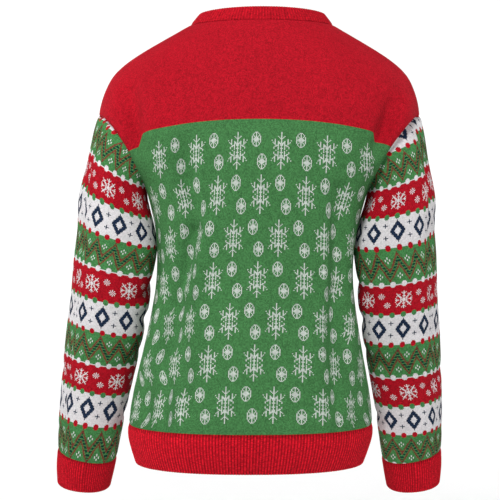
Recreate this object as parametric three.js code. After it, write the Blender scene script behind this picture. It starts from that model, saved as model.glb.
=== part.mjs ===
// A long-sleeved, drop-shoulder, crew-neck knitted sweater, filled out as when it is worn. It is hollow,
// and open at the neck, the hem and the cuffs. Millimetres, +Z up. The origin is the middle of the neck,
// at the height where the neck meets the shoulders. The front faces -Y and the wearer's left is +X.
import * as THREE from "three";

// Cloth
const KNIT_WALL = 2.4; // thickness of the knitted cloth
const RIB_WALL = 3.0; // thickness of the ribbed bands
const SEAM_GAP = 0.3; // distance between two pieces at a seam
const RIB_RISE = 0.7; // how far the ribs of a band stand proud
const RIB_PITCH = 11; // distance between two raised ribs

// Main sizes. SWAY is how far the garment hangs to +X for each millimetre below the neck.
const SWAY = 0.0285;
const SEAM_Y = -5; // shoulder and side seams lie a little to the front of the middle
const NECK_SIDE = { x: 116, z: 3 };
const SHOULDER_TIP = { x: 259.5, z: -142 };
const UNDERARM = { x: 178, z: -262 };
const ARMHOLE_BACK = 67; // how far the armhole seam bows to the back, and to the front
const ARMHOLE_FRONT = 70;
const ARMHOLE_IN = 18; // how far it is drawn in towards the neck on its way down
const ARMHOLE_IN_POWER = 0.35; // below 1, it is drawn in further down as well
const HEM_SEAM_Z = -636;
const HEM_Z = -699;
const CUFF_LENGTH = 56;
const BAND_HEIGHT = 24; // of the neck band
const BAND_LEAN = 10; // how far the neck band leans in over its height, at the back and the front
const BAND_SIDE_LEAN = 19; // the same at the sides of the neck
const NECK_DIP_POWER = 1.5; // above 1, a neckline is level in the middle and steep at the sides

// Number of mesh steps. The armhole has half as many steps as a sleeve has round it.
const SHOULDER_STEPS = 7;
const ARMHOLE_STEPS = 10;
const BODY_STEPS = 12;
const PANEL_STEPS = 13; // from the middle of a panel to its edge
const EDGE_CROWDING = 0.35; // columns are closer together towards the edges, where the creases are
const SLEEVE_STEPS = 20;
const CUFF_STEPS = 2;
const HEM_STEPS = 2;
const BAND_STEPS = 2;
const NECK_RIBS_A_STEP = 2;
const QUARTER_STEPS = 60;
const SHARING_ROUNDS = 6;

// The shoulder line, from the neck to the shoulder's tip.
const SHOULDER_LINE = [
  { along: 0.0, x: NECK_SIDE.x, z: NECK_SIDE.z },
  { along: 0.12, x: 137, z: -10 },
  { along: 0.25, x: 162, z: -24 },
  { along: 0.39, x: 189, z: -39.5 },
  { along: 0.55, x: 217, z: -58 },
  { along: 0.68, x: 238, z: -78 },
  { along: 0.78, x: 248, z: -98 },
  { along: 0.88, x: 255, z: -118 },
  { along: 1.0, x: SHOULDER_TIP.x, z: SHOULDER_TIP.z },
];

// Depth of the garment above the underarm. level is 0 at the neckline, 1 at the shoulder's tip and 2 at
// the underarm. round is the section's exponent: 2 is an ellipse, and more is squarer.
const YOKE = [
  { level: 0.0, backY: 64, backZ: 0, frontY: -82, frontZ: -75, round: 2.0 },
  { level: 0.25, backY: 80, backZ: -25, frontY: -89, frontZ: -88, round: 2.05 },
  { level: 0.5, backY: 94, backZ: -58, frontY: -95, frontZ: -102, round: 2.15 },
  { level: 0.75, backY: 105, backZ: -96, frontY: -101, frontZ: -120, round: 2.25 },
  { level: 1.0, backY: 114, backZ: -145, frontY: -109, frontZ: -147, round: 2.35 },
  { level: 1.5, backY: 118, backZ: -203, frontY: -121, frontZ: -205, round: 2.4 },
  { level: 2.0, backY: 116, backZ: -262, frontY: -125, frontZ: -262, round: 2.3 },
];

// The body below the underarm. seamBack is how far the left side seam is drawn round to the back.
const BODY = [
  { z: -262, half: 178, backY: 116, frontY: -125, round: 2.3, seamBack: 0 },
  { z: -300, half: 168, backY: 111, frontY: -122, round: 2.35, seamBack: 9 },
  { z: -343, half: 159, backY: 106, frontY: -117, round: 2.4, seamBack: 24 },
  { z: -385, half: 155.5, backY: 104, frontY: -113, round: 2.35, seamBack: 30 },
  { z: -437, half: 161.5, backY: 106, frontY: -113, round: 2.35, seamBack: 20 },
  { z: -504, half: 173, backY: 110, frontY: -116, round: 2.35, seamBack: 8 },
  { z: -570, half: 187, backY: 115, frontY: -120, round: 2.35, seamBack: 2 },
  { z: -610, half: 194, backY: 119, frontY: -123, round: 2.35, seamBack: 0 },
  { z: -636, half: 196, backY: 120, frontY: -124, round: 2.35, seamBack: 0 },
  { z: -656, half: 196, backY: 118, frontY: -122, round: 2.35, seamBack: 0 },
  { z: -680, half: 189.5, backY: 113, frontY: -117, round: 2.35, seamBack: 0 },
  { z: -699, half: 183, backY: 106, frontY: -110, round: 2.35, seamBack: 0 },
];

// Rings of a sleeve and its cuff. along is measured down the knitted cloth from the first whole ring below
// the armhole. half is the ring's half width, tilt raises its outer side and lean lowers its back.
const SLEEVE = [
  { along: -70, x: 219, y: -5, z: -200, half: 72, depth: 67, tilt: 50, lean: 0 },
  { along: 0, x: 228, y: -3, z: -237, half: 54, depth: 62, tilt: 33, lean: 3 },
  { along: 60, x: 226.8, y: -4, z: -297, half: 65.8, depth: 59, tilt: 22, lean: 8 },
  { along: 106, x: 224.9, y: -7, z: -339, half: 67.0, depth: 58, tilt: 17, lean: 11 },
  { along: 157, x: 230, y: -12, z: -385, half: 66, depth: 57, tilt: 13.5, lean: 12.5 },
  { along: 213, x: 236, y: -25, z: -440, half: 65, depth: 56, tilt: 12, lean: 13 },
  { along: 283, x: 247, y: -41, z: -507, half: 63, depth: 54, tilt: 11, lean: 13 },
  { along: 375, x: 262, y: -62, z: -597, half: 57.5, depth: 50, tilt: 11, lean: 13 },
  { along: 445, x: 271.5, y: -78, z: -664, half: 53.5, depth: 47, tilt: 11, lean: 13.5 },
  { along: 482, x: 275.5, y: -86, z: -701, half: 50.5, depth: 44, tilt: 11, lean: 14 },
  { along: 512, x: 279.5, y: -93, z: -730, half: 48.5, depth: 42, tilt: 9, lean: 14 },
  { along: 538, x: 282, y: -99, z: -757, half: 45, depth: 38, tilt: 6, lean: 14 },
];
const CUFF_SEAM = 482; // where the sleeve ends and the cuff begins
const SLEEVE_ROUND = 2.2;
const CAP_LENGTH = 70; // how much longer the sleeve is on its outer side than at the underarm
const CAP_SHARE = 0.16; // over this share it turns from the armhole's shape to its own rings

// Folds of the two panels: a soft trough, or a ridge where depth is below zero, between two points given by
// x and z. wide is its half width.
const FOLDS = [
  { panel: "back", x1: 204, z1: -112, x2: 184, z2: -200, depth: 15, wide: 19 },
  { panel: "back", x1: -205, z1: -130, x2: -181, z2: -208, depth: 14, wide: 19 },
  { panel: "back", x1: 113, z1: -200, x2: 96, z2: -330, depth: 8, wide: 16 },
  { panel: "back", x1: 99, z1: -335, x2: 128, z2: -440, depth: 13, wide: 17 },
  { panel: "back", x1: 78, z1: -325, x2: 95, z2: -430, depth: -5, wide: 14 },
  { panel: "back", x1: 116, z1: -446, x2: 140, z2: -540, depth: 9, wide: 16 },
  { panel: "back", x1: -126, z1: -270, x2: -128, z2: -420, depth: 8, wide: 17 },
  { panel: "back", x1: -122, z1: -430, x2: -128, z2: -590, depth: 8, wide: 17 },
  { panel: "front", x1: 202, z1: -118, x2: 182, z2: -205, depth: 14, wide: 19 },
  { panel: "front", x1: -204, z1: -122, x2: -180, z2: -205, depth: 13, wide: 19 },
  { panel: "front", x1: 132, z1: -225, x2: 112, z2: -360, depth: 6, wide: 17 },
  { panel: "front", x1: -126, z1: -260, x2: -134, z2: -410, depth: 7, wide: 17 },
  { panel: "front", x1: -96, z1: -400, x2: -128, z2: -520, depth: 5, wide: 17 },
  { panel: "front", x1: 104, z1: -430, x2: 132, z2: -560, depth: 5, wide: 17 },
];
const FOLD_END_DEPTH = 0.45; // depth of a fold near its ends, as a share of its depth in the middle
const FOLD_TAPER = 0.12; // how far a fold's swell is cut short at each end
const EDGE_FADE = 34; // folds die out over this distance before a seam
const EVEN_ROUNDS = 10; // how often a panel's rows are evened out, away from its edges
const EVEN_FADE = 70; // the evening starts at nothing at an edge and is full at this distance

// Folds across a sleeve. turn is the middle of the fold round the sleeve in degrees, from its outer side
// by way of the back, span is how far it runs to each side, and skew is how far it slopes down with turn.
const SLEEVE_FOLDS = [
  { along: 178, turn: 170, span: 75, skew: -30, depth: 4.5, wide: 13 },
  { along: 236, turn: 190, span: 90, skew: 26, depth: 5, wide: 14 },
  { along: 300, turn: 150, span: 80, skew: -24, depth: 4, wide: 13 },
  { along: 350, turn: 40, span: 70, skew: 22, depth: 3.5, wide: 13 },
  { along: 408, turn: 165, span: 85, skew: -20, depth: 3.5, wide: 12 },
  { along: 455, turn: 80, span: 110, skew: 14, depth: 3.5, wide: 11 },
];
const SLEEVE_FOLDS_END = 0.94; // the folds die out from this share of the sleeve to its cuff

// Colours
const RED = 0xb8182c;
const GREEN = 0x3f7f49;

const radians = THREE.MathUtils.degToRad;
const mix = THREE.MathUtils.lerp;
const ease = THREE.MathUtils.smoothstep;

// One column of a table at a place between its rows, on a smooth curve through them.
function read(table, key, column, place) {
  const rising = table[1][key] > table[0][key] ? 1 : -1;
  let i = 0;
  while (i < table.length - 2 && (place - table[i + 1][key]) * rising > 0) i++;
  const slope = (k) => {
    const a = table[Math.max(k - 1, 0)];
    const b = table[Math.min(k + 1, table.length - 1)];
    return (b[column] - a[column]) / (b[key] - a[key]);
  };
  const span = table[i + 1][key] - table[i][key];
  const t = THREE.MathUtils.clamp((place - table[i][key]) / span, 0, 1);
  const [a, b] = [table[i][column], table[i + 1][column]];
  const [da, db] = [slope(i) * span, slope(i + 1) * span];
  return a + t * (da + t * (3 * (b - a) - 2 * da - db + t * (2 * (a - b) + da + db)));
}

// A quarter of a section, from the middle of a panel to the panel's edge.
function quarter(middle, edge, round) {
  const points = [];
  for (let i = 0; i <= QUARTER_STEPS; i++) {
    const turn = (i / QUARTER_STEPS) * (Math.PI / 2);
    const out = Math.sin(turn) ** (2 / round);
    const deep = Math.max(Math.cos(turn), 0) ** (2 / round);
    points.push(
      new THREE.Vector3(
        edge.x * out,
        mix(edge.y, middle.y, deep),
        mix(edge.z, middle.z, deep ** NECK_DIP_POWER),
      ),
    );
  }
  return points;
}

// Points spaced along a polyline by the shares in places, which run from 0 to 1.
function spaced(points, places, from = 0, to = null) {
  const far = [0];
  for (let i = 1; i < points.length; i++) far.push(far[i - 1] + points[i].distanceTo(points[i - 1]));
  const end = to ?? far[far.length - 1];
  return places.map((place) => {
    const want = from + place * (end - from);
    let i = 0;
    while (i < far.length - 2 && far[i + 1] < want) i++;
    return points[i].clone().lerp(points[i + 1], (want - far[i]) / (far[i + 1] - far[i]));
  });
}

function lengthOf(points) {
  return points.reduce((sum, p, i) => (i ? sum + p.distanceTo(points[i - 1]) : 0), 0);
}

// The armhole seam at a turn from 0 at the shoulder's tip to 180 degrees at the underarm.
function armholePoint(turn, panel) {
  const down = (1 - Math.cos(turn)) / 2;
  const bow = Math.sin(turn);
  const reach = panel === "back" ? ARMHOLE_BACK : -ARMHOLE_FRONT;
  return new THREE.Vector3(
    mix(SHOULDER_TIP.x, UNDERARM.x, down) - ARMHOLE_IN * bow * (1 - down) ** ARMHOLE_IN_POWER,
    SEAM_Y + reach * bow,
    mix(SHOULDER_TIP.z, UNDERARM.z, down),
  );
}

// Half of a panel's section above the underarm.
function yokeHalf(panel, level) {
  let edge;
  let place = level;
  if (level <= 1) {
    const x = read(SHOULDER_LINE, "along", "x", level);
    const z = read(SHOULDER_LINE, "along", "z", level);
    edge = new THREE.Vector3(x, SEAM_Y, z);
  } else {
    const turn = (level - 1) * Math.PI;
    edge = armholePoint(turn, panel);
    place = 1.5 - Math.cos(turn) / 2;
  }
  const y = read(YOKE, "level", panel + "Y", place);
  const z = read(YOKE, "level", panel + "Z", place);
  return quarter(new THREE.Vector3(0, y, z), edge, read(YOKE, "level", "round", place));
}

// Half of the body's ring, from the middle of the back to the middle of the front.
function bodyHalf(z) {
  const get = (column) => read(BODY, "z", column, z);
  const side = new THREE.Vector3(get("half"), SEAM_Y, z);
  const back = quarter(new THREE.Vector3(0, get("backY"), z), side, get("round"));
  const front = quarter(new THREE.Vector3(0, get("frontY"), z), side, get("round"));
  return { ring: [...back, ...front.reverse().slice(1)], seam: lengthOf(back), shift: get("seamBack") };
}

// Half of a panel's section below the underarm. left is 1 on the wearer's left and -1 on the right.
function bodyPanelHalf(panel, z, places, left) {
  const { ring, seam, shift } = bodyHalf(z);
  const cut = seam - (left > 0 ? shift : 0);
  if (panel === "back") return spaced(ring, places, 0, cut);
  return spaced([...ring].reverse(), places, 0, lengthOf(ring) - cut);
}

// How far the cloth is pressed in by the folds of a panel at x and z.
function foldDepth(panel, x, z) {
  let depth = 0;
  for (const fold of FOLDS) {
    if (fold.panel !== panel) continue;
    const [dx, dz] = [fold.x2 - fold.x1, fold.z2 - fold.z1];
    const along = ((x - fold.x1) * dx + (z - fold.z1) * dz) / (dx * dx + dz * dz);
    const held = THREE.MathUtils.clamp(along, 0, 1);
    const off = Math.hypot(x - fold.x1 - held * dx, z - fold.z1 - held * dz);
    const swell = mix(FOLD_END_DEPTH, 1, Math.sin(Math.PI * mix(FOLD_TAPER, 1 - FOLD_TAPER, held)));
    depth += fold.depth * swell * Math.exp(-((off / fold.wide) ** 2));
  }
  return depth;
}

// Normals of a grid of points, to the side that down x across faces.
function normalsOf(rows, closed) {
  return rows.map((row, i) =>
    row.map((_, j) => {
      const last = row.length - 1;
      const before = closed ? row[(j + last) % row.length] : row[Math.max(j - 1, 0)];
      const after = closed ? row[(j + 1) % row.length] : row[Math.min(j + 1, last)];
      const above = rows[Math.max(i - 1, 0)][j];
      const below = rows[Math.min(i + 1, rows.length - 1)][j];
      const across = after.clone().sub(before);
      return below.clone().sub(above).cross(across).normalize();
    }),
  );
}

// A sheet of cloth: its outer points in rows, and the way to its inside at each of them. shift is how far
// a point steps back from a seam, and rise how far it stands proud.
function sheetOf(rows, middleOf, closed) {
  const facing = normalsOf(rows, closed);
  const inward = facing.map((row, i) =>
    row.map((n, j) => (n.dot(middleOf(rows[i][j], i).sub(rows[i][j])) < 0 ? n.negate() : n)),
  );
  const shift = rows.map((row) => row.map(() => new THREE.Vector3()));
  const rise = rows.map((row) => row.map(() => 0));
  return { rows, inward, shift, rise, closed };
}

const pointAt = ({ sheet, i, j }) => sheet.rows[i][j];

// The way along a seam at place k of one of its edges, and the way from there into that edge's cloth.
function waysAt(edge, k) {
  const along = pointAt(edge[Math.min(k + 1, edge.length - 1)]).clone();
  along.sub(pointAt(edge[Math.max(k - 1, 0)])).normalize();
  const { sheet, i, j, di, dj } = edge[k];
  const cloth = sheet.rows[i + di][j + dj].clone().sub(sheet.rows[i][j]);
  cloth.addScaledVector(along, -cloth.dot(along)).normalize();
  return { along, cloth };
}

// Gives both sheets one normal at each point of a seam. Each edge is a list of places in a sheet, and both
// edges follow the same points. Where the two cloths fold back on each other, as they do at the underarm,
// the normal points away from both.
function shareNormals([a, b], folding) {
  a.forEach((place, k) => {
    const [mine, other] = [place.sheet.inward[place.i], b[k].sheet.inward[b[k].i]];
    const normal = mine[place.j].clone().add(other[b[k].j]);
    if (folding) normal.sub(waysAt(a, k).cloth).sub(waysAt(b, k).cloth);
    mine[place.j] = normal.normalize();
    other[b[k].j] = normal.clone();
  });
}

// Moves both sheets half a gap back from their seam.
function openGap([a, b]) {
  a.forEach((place, k) => {
    const { along, cloth } = waysAt(a, k);
    const away = along.cross(place.sheet.inward[place.i][place.j]).normalize();
    if (away.dot(cloth) < 0) away.negate();
    place.sheet.shift[place.i][place.j].addScaledVector(away, SEAM_GAP / 2);
    b[k].sheet.shift[b[k].i][b[k].j].addScaledVector(away, -SEAM_GAP / 2);
  });
}

// Ends a sheet at row i in a plane, half a gap back from it.
function endInPlane(sheet, i, axis, side) {
  sheet.inward[i].forEach((n) => n.addScaledVector(axis, -n.dot(axis)).normalize());
  sheet.shift[i].forEach((s) => s.addScaledVector(axis, (side * SEAM_GAP) / 2));
}

// The closed solid of a sheet: its outer points, and inner points a wall's thickness away.
function wallOf(sheet, thickness) {
  const { rows, inward, shift, rise, closed } = sheet;
  const wide = rows[0].length;
  const tall = rows.length;
  const move = (lift) => (p, i, j) =>
    p.clone().add(shift[i][j]).addScaledVector(inward[i][j], lift(i, j));
  const outerAt = move((i, j) => -rise[i][j]);
  const innerAt = move(() => thickness);
  const points = [outerAt, innerAt].flatMap((place) =>
    rows.flatMap((row, i) => row.map((p, j) => place(p, i, j))),
  );
  const outer = (i, j) => i * wide + (j % wide);
  const inner = (i, j) => outer(i, j) + wide * tall;
  const faces = [];
  const quad = (a, b, c, d) => faces.push(a, b, c, a, c, d);
  const steps = closed ? wide : wide - 1;
  for (let i = 0; i + 1 < tall; i++)
    for (let j = 0; j < steps; j++) {
      quad(outer(i, j), outer(i + 1, j), outer(i + 1, j + 1), outer(i, j + 1));
      quad(inner(i, j), inner(i, j + 1), inner(i + 1, j + 1), inner(i + 1, j));
    }
  for (let j = 0; j < steps; j++) {
    quad(outer(0, j), outer(0, j + 1), inner(0, j + 1), inner(0, j));
    quad(outer(tall - 1, j + 1), outer(tall - 1, j), inner(tall - 1, j), inner(tall - 1, j + 1));
  }
  for (let i = 0; !closed && i + 1 < tall; i++) {
    quad(outer(i + 1, 0), outer(i, 0), inner(i, 0), inner(i + 1, 0));
    quad(outer(i, wide - 1), outer(i + 1, wide - 1), inner(i + 1, wide - 1), inner(i, wide - 1));
  }
  const geometry = new THREE.BufferGeometry();
  const swayed = points.flatMap((p) => [p.x - SWAY * p.z, p.y, p.z]);
  geometry.setAttribute("position", new THREE.Float32BufferAttribute(swayed, 3));
  geometry.setIndex(volumeOf(points, faces) < 0 ? faces.reverse() : faces);
  geometry.computeVertexNormals();
  return geometry;
}

function volumeOf(points, faces) {
  let sum = 0;
  for (let k = 0; k < faces.length; k += 3) {
    const [a, b, c] = [points[faces[k]], points[faces[k + 1]], points[faces[k + 2]]];
    sum += a.dot(b.clone().cross(c)) / 6;
  }
  return sum;
}

// Shares from 0 in the middle of a panel to 1 at its edge, closer together near the edge.
const ACROSS = Array.from({ length: PANEL_STEPS + 1 }, (_, i) => {
  const u = i / PANEL_STEPS;
  return u * (1 + EDGE_CROWDING) - EDGE_CROWDING * u * u;
});

// The two halves of a row joined, from the right edge to the left edge.
function wholeRow(right, left) {
  const mirrored = right.slice(1).reverse();
  mirrored.forEach((p) => (p.x = -p.x));
  return [...mirrored, ...left];
}

// A point inside the body that tells which side of the cloth at p faces in. Near the shoulders it lies below.
const INNER_SHARE = 0.6;
const INNER_DROP = 60;
const INNER_TOP = -90;
const torsoMiddle = (p) =>
  new THREE.Vector3(p.x * INNER_SHARE, SEAM_Y, Math.min(p.z - INNER_DROP, INNER_TOP));

// A panel, row by row from the neckline and shoulders down to the hem's seam.
function panelSheet(panel) {
  const rows = [];
  for (let i = 0; i <= SHOULDER_STEPS + ARMHOLE_STEPS; i++) {
    const level = i <= SHOULDER_STEPS ? i / SHOULDER_STEPS : 1 + (i - SHOULDER_STEPS) / ARMHOLE_STEPS;
    const half = () => spaced(yokeHalf(panel, level), ACROSS);
    rows.push(wholeRow(half(), half()));
  }
  for (let i = 1; i <= BODY_STEPS; i++) {
    const z = mix(UNDERARM.z, HEM_SEAM_Z, i / BODY_STEPS);
    const half = (left) => bodyPanelHalf(panel, z, ACROSS, left);
    rows.push(wholeRow(half(-1), half(1)));
  }
  const plain = sheetOf(evened(rows), torsoMiddle, false);
  return sheetOf(folded(panel, plain), torsoMiddle, false);
}

// Evens out the rows of a panel, so that no crease runs in from the shoulder's tip or the underarm.
function evened(rows) {
  const last = rows[0].length - 1;
  let now = rows;
  for (let round = 0; round < EVEN_ROUNDS; round++)
    now = now.map((row, i) =>
      row.map((p, j) => {
        if (i === 0 || i === now.length - 1) return p;
        const share = ease(Math.min(p.distanceTo(row[0]), p.distanceTo(row[last])), 0, EVEN_FADE) / 2;
        const between = now[i - 1][j].clone().lerp(now[i + 1][j], 0.5);
        return p.clone().lerp(between, share);
      }),
    );
  return now;
}

// Presses the folds into a panel's rows. They fade out before every edge.
function folded(panel, { rows, inward }) {
  const bottom = rows.length - 1;
  return rows.map((row, i) =>
    row.map((p, j) => {
      const ends = [row[0], row[row.length - 1], rows[0][j], rows[bottom][j]];
      const clear = Math.min(...ends.map((q) => p.distanceTo(q)));
      const press = ease(clear, 0, EDGE_FADE) * foldDepth(panel, p.x, p.z);
      return p.clone().addScaledVector(inward[i][j], press);
    }),
  );
}

// A point of a sleeve's ring by its place along the sleeve. turn runs from the outer side by way of the back.
function sleevePoint(along, turn) {
  const get = (column) => read(SLEEVE, "along", column, along);
  const [tilt, lean] = [radians(get("tilt")), radians(get("lean"))];
  const squared = (v) => Math.sign(v) * Math.abs(v) ** (2 / SLEEVE_ROUND);
  const wide = get("half") * squared(Math.cos(turn));
  const deep = get("depth") * squared(Math.sin(turn));
  return new THREE.Vector3(
    get("x") + wide * Math.cos(tilt),
    get("y") + deep * Math.cos(lean),
    get("z") + wide * Math.sin(tilt) - deep * Math.sin(lean),
  );
}

// The direction down the sleeve, square to its ring.
function sleeveAxis(along) {
  const [out, back] = [sleevePoint(along, 0), sleevePoint(along, Math.PI / 2)];
  const [inn, fore] = [sleevePoint(along, Math.PI), sleevePoint(along, (3 * Math.PI) / 2)];
  const axis = out.sub(inn).cross(back.sub(fore)).normalize();
  return axis.z > 0 ? axis.negate() : axis;
}

function sleeveFoldDepth(along, turn) {
  let depth = 0;
  for (const fold of SLEEVE_FOLDS) {
    const apart = (THREE.MathUtils.radToDeg(turn) - fold.turn + 540) % 360;
    const off = (apart - 180) / fold.span;
    if (Math.abs(off) > 1) continue;
    const away = (along - fold.along - fold.skew * off) / fold.wide;
    depth += fold.depth * Math.cos((off * Math.PI) / 2) ** 2 * Math.exp(-(away ** 2));
  }
  return depth;
}

const ringMiddle = (rows) => (_, i) =>
  rows[i].reduce((sum, p) => sum.add(p), new THREE.Vector3()).divideScalar(rows[i].length);

// A sleeve. Its first row is the armhole seam, and has the same points there as the panels' edges.
function sleeveSheet(side) {
  const rows = [];
  const around = ARMHOLE_STEPS * 2;
  for (let i = 0; i <= SLEEVE_STEPS; i++) {
    const share = i / SLEEVE_STEPS;
    const row = [];
    for (let j = 0; j < around; j++) {
      const turn = (j / around) * 2 * Math.PI;
      const behind = j <= ARMHOLE_STEPS;
      const seam = armholePoint(behind ? turn : 2 * Math.PI - turn, behind ? "back" : "front");
      const along = mix((-CAP_LENGTH / 2) * (1 + Math.cos(turn)), CUFF_SEAM, share);
      const tube = sleevePoint(along, turn);
      const across = sleevePoint(along, turn + Math.PI);
      const clear = ease(share, CAP_SHARE / 2, CAP_SHARE * 1.5) * (1 - ease(share, SLEEVE_FOLDS_END, 1));
      tube.lerp(across, (clear * sleeveFoldDepth(along, turn)) / tube.distanceTo(across));
      const point = seam.lerp(tube, 1 - (1 - Math.min(share / CAP_SHARE, 1)) ** 2);
      point.x *= side;
      row.push(point);
    }
    rows.push(row);
  }
  return sheetOf(rows, ringMiddle(rows), true);
}

// Raises every second column of a band, except in the rows that lie at a seam.
function raiseRibs(sheet, from) {
  for (let i = from; i < sheet.rows.length; i++)
    sheet.rise[i] = sheet.rise[i].map((_, j) => (j % 2 ? RIB_RISE : 0));
}

function cuffSheet(side) {
  const girth = 2 * Math.PI * read(SLEEVE, "along", "half", CUFF_SEAM);
  const around = 2 * Math.round(girth / RIB_PITCH);
  const rows = [];
  for (let i = 0; i <= CUFF_STEPS; i++) {
    const along = CUFF_SEAM + (i / CUFF_STEPS) * CUFF_LENGTH;
    const turns = Array.from({ length: around }, (_, j) => (j / around) * 2 * Math.PI);
    rows.push(turns.map((turn) => sleevePoint(along, turn)));
  }
  rows.flat().forEach((p) => (p.x *= side));
  const sheet = sheetOf(rows, ringMiddle(rows), true);
  raiseRibs(sheet, 0);
  return sheet;
}

// One half of the hem's band, from the right side seam to the left one.
function hemSheet(panel) {
  const half = lengthOf(bodyPanelHalf(panel, HEM_SEAM_Z, ACROSS, 1));
  const steps = 2 * Math.round(half / RIB_PITCH);
  const places = Array.from({ length: steps + 1 }, (_, i) => i / steps);
  const rows = [];
  for (let i = 0; i <= HEM_STEPS; i++) {
    const z = mix(HEM_SEAM_Z, HEM_Z, i / HEM_STEPS);
    rows.push(wholeRow(bodyPanelHalf(panel, z, places, -1), bodyPanelHalf(panel, z, places, 1)));
  }
  const sheet = sheetOf(rows, torsoMiddle, false);
  raiseRibs(sheet, 0);
  return sheet;
}

// The neck band stands on the neckline and leans in. Its points lie on the necklines' own chords.
function neckSheet(back, front) {
  const neckline = [...back.rows[0], ...front.rows[0].slice(1, -1).reverse()];
  const count = neckline.length * NECK_RIBS_A_STEP;
  const rows = Array.from({ length: BAND_STEPS + 1 }, (_, i) =>
    Array.from({ length: count }, (_, j) => {
      const [k, share] = [Math.floor(j / NECK_RIBS_A_STEP), (j % NECK_RIBS_A_STEP) / NECK_RIBS_A_STEP];
      const foot = neckline[k].clone().lerp(neckline[(k + 1) % neckline.length], share);
      const height = (i / BAND_STEPS) * BAND_HEIGHT;
      const aside = (foot.x / NECK_SIDE.x) ** 2;
      const lean = Math.atan2(BAND_LEAN + (BAND_SIDE_LEAN - BAND_LEAN) * aside, BAND_HEIGHT);
      const inward = new THREE.Vector3(-foot.x, SEAM_Y - foot.y, 0).normalize();
      foot.addScaledVector(inward, height * Math.sin(lean));
      foot.z += height * Math.cos(lean);
      return foot;
    }),
  );
  const sheet = sheetOf(rows, ringMiddle(rows), true);
  raiseRibs(sheet, 1);
  return sheet;
}

// Places of a sheet along one of its columns or rows. di and dj lead from the edge into the cloth.
const steps = (from, to) =>
  Array.from({ length: Math.abs(to - from) + 1 }, (_, k) => from + k * Math.sign(to - from));
const columnOf = (sheet, j, from, to) => steps(from, to).map((i) => ({ sheet, i, j, di: 0, dj: j ? -1 : 1 }));
const rowOf = (sheet, from, to, stride = 1) =>
  steps(from, to).map((k) => ({ sheet, i: 0, j: (k * stride) % sheet.rows[0].length, di: 1, dj: 0 }));

const SHOULDER_END = SHOULDER_STEPS;
const ARMHOLE_END = SHOULDER_STEPS + ARMHOLE_STEPS;
const PANEL_END = ARMHOLE_END + BODY_STEPS;
const LAST = 2 * PANEL_STEPS;
const UP = new THREE.Vector3(0, 0, 1);

const back = panelSheet("back");
const front = panelSheet("front");
const sleeves = { left: sleeveSheet(1), right: sleeveSheet(-1) };
const cuffs = { left: cuffSheet(1), right: cuffSheet(-1) };
const hems = { back: hemSheet("back"), front: hemSheet("front") };
const neck = neckSheet(back, front);

// The seams. A sleeve's first row meets the back panel on its way down, and the front panel on its way up.
const seams = [
  [rowOf(back, 0, LAST), rowOf(neck, 0, LAST, NECK_RIBS_A_STEP)],
  [rowOf(front, LAST, 0), rowOf(neck, LAST, 2 * LAST, NECK_RIBS_A_STEP)],
];
for (const [side, j] of [["right", 0], ["left", LAST]]) {
  const sleeve = sleeves[side];
  const around = 2 * ARMHOLE_STEPS;
  seams.push(
    [columnOf(back, j, 0, SHOULDER_END), columnOf(front, j, 0, SHOULDER_END)],
    [columnOf(back, j, SHOULDER_END, ARMHOLE_END), rowOf(sleeve, 0, ARMHOLE_STEPS)],
    [columnOf(front, j, SHOULDER_END, ARMHOLE_END), rowOf(sleeve, around, ARMHOLE_STEPS)],
    [columnOf(back, j, ARMHOLE_END, PANEL_END), columnOf(front, j, ARMHOLE_END, PANEL_END)],
  );
  const hemEdge = (hem) => columnOf(hem, j && hem.rows[0].length - 1, 0, HEM_STEPS);
  seams.push([hemEdge(hems.back), hemEdge(hems.front)]);
}
// Three pieces meet at the ends of some seams, so the normals are shared in several rounds.
for (let round = 0; round < SHARING_ROUNDS; round++)
  seams.forEach((seam) => shareNormals(seam, round === 0));
seams.forEach(openGap);

for (const [panel, hem] of [[back, hems.back], [front, hems.front]]) {
  endInPlane(panel, PANEL_END, UP, 1);
  endInPlane(hem, 0, UP, -1);
}
for (const side of ["left", "right"]) {
  const axis = sleeveAxis(CUFF_SEAM);
  if (side === "right") axis.x = -axis.x;
  endInPlane(sleeves[side], SLEEVE_STEPS, axis, -1);
  endInPlane(cuffs[side], 0, axis, 1);
}

// Between the panels' points, the foot of the neck band lies midway between its neighbours.
neck.rows[0].forEach((_, j) => {
  const share = (j % NECK_RIBS_A_STEP) / NECK_RIBS_A_STEP;
  if (!share) return;
  const a = j - (j % NECK_RIBS_A_STEP);
  const end = (a + NECK_RIBS_A_STEP) % neck.rows[0].length;
  neck.inward[0][j].copy(neck.inward[0][a]).lerp(neck.inward[0][end], share);
  neck.shift[0][j].copy(neck.shift[0][a]).lerp(neck.shift[0][end], share);
});

const material = (color) => new THREE.MeshStandardMaterial({ color, roughness: 0.9, metalness: 0 });

const sweater = new THREE.Group();
function add(name, sheet, thickness, color) {
  const mesh = new THREE.Mesh(wallOf(sheet, thickness), material(color));
  mesh.name = name;
  sweater.add(mesh);
}

add("back", back, KNIT_WALL, GREEN);
add("front", front, KNIT_WALL, GREEN);
add("hem_rib_back", hems.back, RIB_WALL, RED);
add("hem_rib_front", hems.front, RIB_WALL, RED);
add("neck_rib", neck, RIB_WALL, RED);
for (const side of ["left", "right"]) {
  add("sleeve_" + side, sleeves[side], KNIT_WALL, RED);
  add("cuff_" + side, cuffs[side], RIB_WALL, RED);
}

export default sweater;
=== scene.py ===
"""A knitted christmas sweater, filled out as when it is worn and seen from behind.

Every piece of cloth is a thin shell on the form of its solid, worked out from the same named sizes. Sizes
below are in millimetres, as in the part's source, and the meshes are in metres.
"""

import math

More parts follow.
